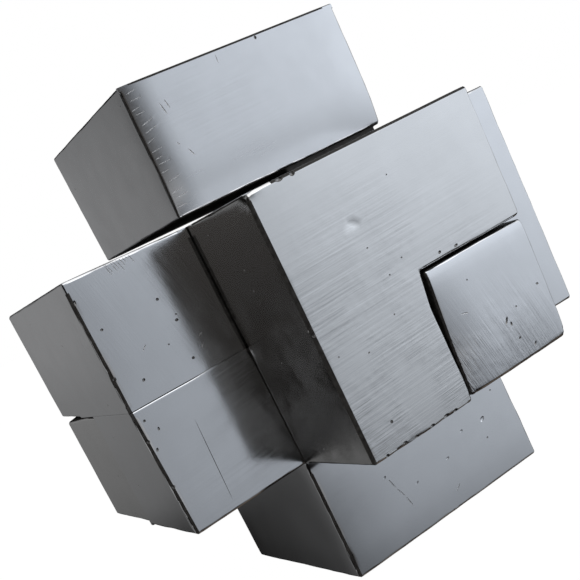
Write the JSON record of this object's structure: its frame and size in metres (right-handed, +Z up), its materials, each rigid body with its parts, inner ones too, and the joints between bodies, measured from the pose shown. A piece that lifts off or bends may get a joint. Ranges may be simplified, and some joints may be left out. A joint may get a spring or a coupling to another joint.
{
  "type": "metal burr puzzle",
  "caption": "Metal burr puzzle shaped like a three-dimensional cross: notched square-bar pieces locked through the middle, with the loose ones free to slide out.",
  "frame": {"origin": "centre of the footprint, on the end face of the bottom arm", "axes": "+Z up along the top arm, -Y towards the front arm, +X towards the right arm"},
  "size_m": [0.0834, 0.0822, 0.0839],
  "materials": {
    "foot_block": "sanded and pitted, worn satin",
    "cross_beam": "sanded and pitted, worn satin",
    "front_elbow": "coarse sanding lines, worn satin",
    "front_key": "coarse sanding lines, worn satin",
    "top_cap": "fine sanding lines, worn satin",
    "side_plug": "sanded, worn satin"
  },
  "bodies": {
    "base": {"foot_block": "foot_block", "cross_beam": "cross_beam"},
    "key": {"front_key": "front_key"},
    "elbow": {"front_elbow": "front_elbow"},
    "cap": {"top_cap": "top_cap"},
    "plug": {"side_plug": "side_plug"}
  },
  "joints": [
    {"name": "key_slide", "type": "slide", "parent": "base", "child": "key", "axis": [0, -1, 0], "range_m": [0, 0.042]},
    {"name": "elbow_slide", "type": "slide", "parent": "base", "child": "elbow", "axis": [0, -1, 0], "range_m": [0, 0.022]},
    {"name": "cap_lift", "type": "slide", "parent": "base", "child": "cap", "axis": [0, 0, 1], "range_m": [0, 0.022]},
    {"name": "plug_slide", "type": "slide", "parent": "base", "child": "plug", "axis": [-1, 0, 0], "range_m": [0, 0.042]}
  ]
}
